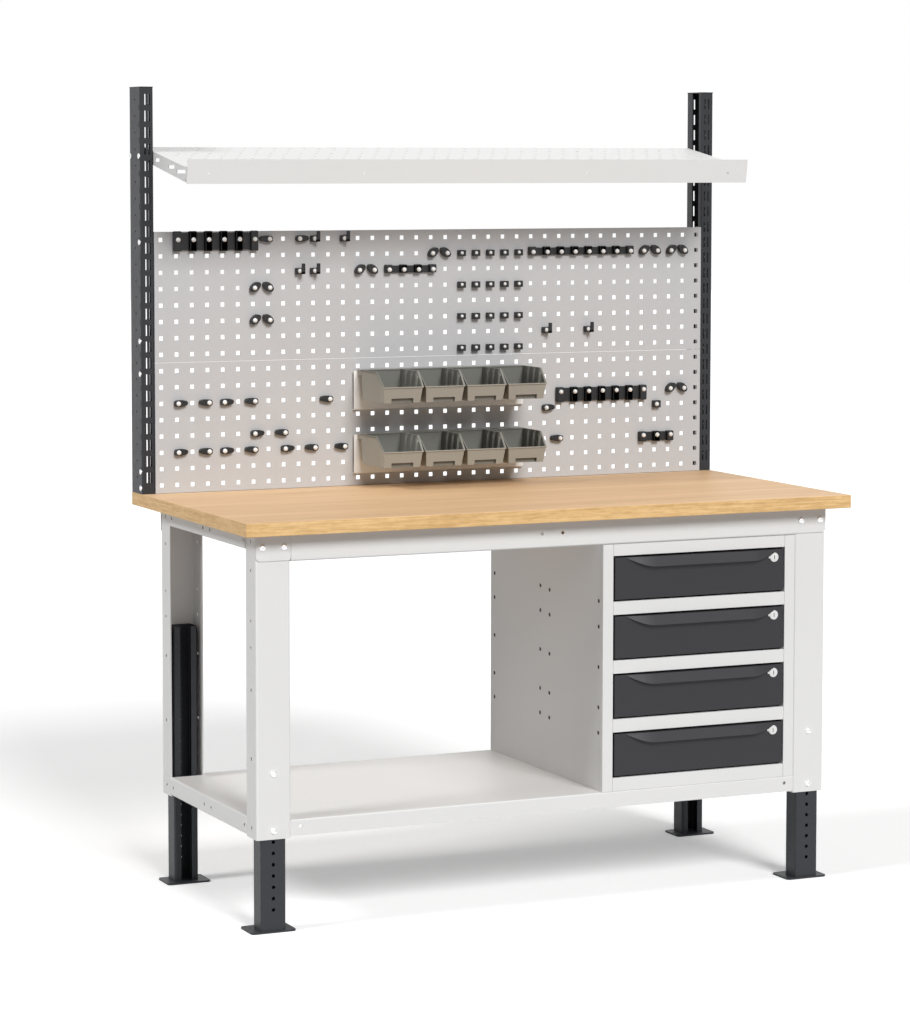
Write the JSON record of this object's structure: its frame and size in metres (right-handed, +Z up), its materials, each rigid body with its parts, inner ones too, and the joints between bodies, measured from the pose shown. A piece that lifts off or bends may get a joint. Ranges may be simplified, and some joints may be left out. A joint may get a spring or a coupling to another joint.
{
  "type": "workbench",
  "caption": "Height-adjustable steel workbench with a plywood top, a drawer cabinet, perforated back panels with hanging bins and a sloping upper shelf.",
  "frame": {"origin": "on the floor, below the middle of the worktop", "axes": "+X to the right as seen from the front, +Y to the back, +Z up"},
  "size_m": [1.5, 0.75, 1.847],
  "materials": {
    "beech_plywood": "oiled",
    "light_grey_paint": "fine powder coat",
    "anthracite_paint": "fine powder coat",
    "panel_grey_paint": "fine powder coat",
    "white_paint": "powder coat",
    "zinc_plated_steel": "bright zinc",
    "lock_metal": "matt",
    "bin_plastic": "moulded",
    "holder_plastic": "moulded",
    "bolt_steel": "zinc plated"
  },
  "bodies": {
    "root": {"worktop": "beech_plywood", "lower_shelf": "light_grey_paint", "cabinet_shell": "light_grey_paint", "cabinet_face_frame": "light_grey_paint", "beam_front": "light_grey_paint", "leg_front_left": "light_grey_paint", "leg_front_right": "light_grey_paint", "beam_rear": "light_grey_paint", "leg_rear_left": "light_grey_paint", "leg_rear_right": "light_grey_paint", "side_rail_top_left": "light_grey_paint", "side_rail_low_left": "light_grey_paint", "upright_left": "anthracite_paint", "shelf_arm_left": "panel_grey_paint", "side_rail_top_right": "light_grey_paint", "side_rail_low_right": "light_grey_paint", "upright_right": "anthracite_paint", "shelf_arm_right": "panel_grey_paint", "slide_posts": "zinc_plated_steel", "slide_outer": "zinc_plated_steel", "panel_lower": "panel_grey_paint", "panel_upper": "panel_grey_paint", "upper_shelf": "panel_grey_paint", "bin_rail_upper": "white_paint", "bin_rail_lower": "white_paint", "tool_holders": "holder_plastic", "frame_bolts": "bolt_steel"},
    "foot_front_left": {"foot_front_left": "anthracite_paint"},
    "foot_front_right": {"foot_front_right": "anthracite_paint"},
    "foot_rear_left": {"foot_rear_left": "anthracite_paint"},
    "foot_rear_right": {"foot_rear_right": "anthracite_paint"},
    "slide_middle_1": {"slide_middle_1": "zinc_plated_steel"},
    "drawer_1": {"drawer_box_1": "light_grey_paint", "drawer_front_1": "anthracite_paint", "slide_inner_1": "zinc_plated_steel"},
    "lock_1": {"lock_1": "lock_metal"},
    "slide_middle_2": {"slide_middle_2": "zinc_plated_steel"},
    "drawer_2": {"drawer_box_2": "light_grey_paint", "drawer_front_2": "anthracite_paint", "slide_inner_2": "zinc_plated_steel"},
    "lock_2": {"lock_2": "lock_metal"},
    "slide_middle_3": {"slide_middle_3": "zinc_plated_steel"},
    "drawer_3": {"drawer_box_3": "light_grey_paint", "drawer_front_3": "anthracite_paint", "slide_inner_3": "zinc_plated_steel"},
    "lock_3": {"lock_3": "lock_metal"},
    "slide_middle_4": {"slide_middle_4": "zinc_plated_steel"},
    "drawer_4": {"drawer_box_4": "light_grey_paint", "drawer_front_4": "anthracite_paint", "slide_inner_4": "zinc_plated_steel"},
    "lock_4": {"lock_4": "lock_metal"},
    "bin_1": {"bin_1": "bin_plastic"},
    "bin_2": {"bin_2": "bin_plastic"},
    "bin_3": {"bin_3": "bin_plastic"},
    "bin_4": {"bin_4": "bin_plastic"},
    "bin_5": {"bin_5": "bin_plastic"},
    "bin_6": {"bin_6": "bin_plastic"},
    "bin_7": {"bin_7": "bin_plastic"},
    "bin_8": {"bin_8": "bin_plastic"}
  },
  "joints": [
    {"name": "foot_front_left_height", "type": "slide", "parent": "root", "child": "foot_front_left", "axis": [0, 0, 1], "range_m": [-0.05, 0.1]},
    {"name": "foot_front_right_height", "type": "slide", "parent": "root", "child": "foot_front_right", "axis": [0, 0, 1], "range_m": [-0.05, 0.1]},
    {"name": "foot_rear_left_height", "type": "slide", "parent": "root", "child": "foot_rear_left", "axis": [0, 0, 1], "range_m": [-0.05, 0.1]},
    {"name": "foot_rear_right_height", "type": "slide", "parent": "root", "child": "foot_rear_right", "axis": [0, 0, 1], "range_m": [-0.05, 0.1]},
    {"name": "slide_middle_1_travel", "type": "slide", "parent": "root", "child": "slide_middle_1", "axis": [0, -1, 0], "range_m": [0, 0.24]},
    {"name": "drawer_1_travel", "type": "slide", "parent": "slide_middle_1", "child": "drawer_1", "axis": [0, -1, 0], "range_m": [0, 0.24]},
    {"name": "lock_1_turn", "type": "hinge", "parent": "drawer_1", "child": "lock_1", "pos_m": [0.5735, -0.325, 0.763], "axis": [0, 1, 0], "range_deg": [0, 90]},
    {"name": "slide_middle_2_travel", "type": "slide", "parent": "root", "child": "slide_middle_2", "axis": [0, -1, 0], "range_m": [0, 0.24]},
    {"name": "drawer_2_travel", "type": "slide", "parent": "slide_middle_2", "child": "drawer_2", "axis": [0, -1, 0], "range_m": [0, 0.24]},
    {"name": "lock_2_turn", "type": "hinge", "parent": "drawer_2", "child": "lock_2", "pos_m": [0.5735, -0.325, 0.6283], "axis": [0, 1, 0], "range_deg": [0, 90]},
    {"name": "slide_middle_3_travel", "type": "slide", "parent": "root", "child": "slide_middle_3", "axis": [0, -1, 0], "range_m": [0, 0.24]},
    {"name": "drawer_3_travel", "type": "slide", "parent": "slide_middle_3", "child": "drawer_3", "axis": [0, -1, 0], "range_m": [0, 0.24]},
    {"name": "lock_3_turn", "type": "hinge", "parent": "drawer_3", "child": "lock_3", "pos_m": [0.5735, -0.325, 0.4936], "axis": [0, 1, 0], "range_deg": [0, 90]},
    {"name": "slide_middle_4_travel", "type": "slide", "parent": "root", "child": "slide_middle_4", "axis": [0, -1, 0], "range_m": [0, 0.24]},
    {"name": "drawer_4_travel", "type": "slide", "parent": "slide_middle_4", "child": "drawer_4", "axis": [0, -1, 0], "range_m": [0, 0.24]},
    {"name": "lock_4_turn", "type": "hinge", "parent": "drawer_4", "child": "lock_4", "pos_m": [0.5735, -0.325, 0.3589], "axis": [0, 1, 0], "range_deg": [0, 90]},
    {"name": "bin_1_lift", "type": "slide", "parent": "root", "child": "bin_1", "axis": [0, 0, 1], "range_m": [0, 0.03]},
    {"name": "bin_2_lift", "type": "slide", "parent": "root", "child": "bin_2", "axis": [0, 0, 1], "range_m": [0, 0.03]},
    {"name": "bin_3_lift", "type": "slide", "parent": "root", "child": "bin_3", "axis": [0, 0, 1], "range_m": [0, 0.03]},
    {"name": "bin_4_lift", "type": "slide", "parent": "root", "child": "bin_4", "axis": [0, 0, 1], "range_m": [0, 0.03]},
    {"name": "bin_5_lift", "type": "slide", "parent": "root", "child": "bin_5", "axis": [0, 0, 1], "range_m": [0, 0.03]},
    {"name": "bin_6_lift", "type": "slide", "parent": "root", "child": "bin_6", "axis": [0, 0, 1], "range_m": [0, 0.03]},
    {"name": "bin_7_lift", "type": "slide", "parent": "root", "child": "bin_7", "axis": [0, 0, 1], "range_m": [0, 0.03]},
    {"name": "bin_8_lift", "type": "slide", "parent": "root", "child": "bin_8", "axis": [0, 0, 1], "range_m": [0, 0.03]}
  ],
  "couplings": [
    {"joint": "drawer_1_travel", "follows": "slide_middle_1_travel", "ratio": 1},
    {"joint": "drawer_2_travel", "follows": "slide_middle_2_travel", "ratio": 1},
    {"joint": "drawer_3_travel", "follows": "slide_middle_3_travel", "ratio": 1},
    {"joint": "drawer_4_travel", "follows": "slide_middle_4_travel", "ratio": 1}
  ]
}
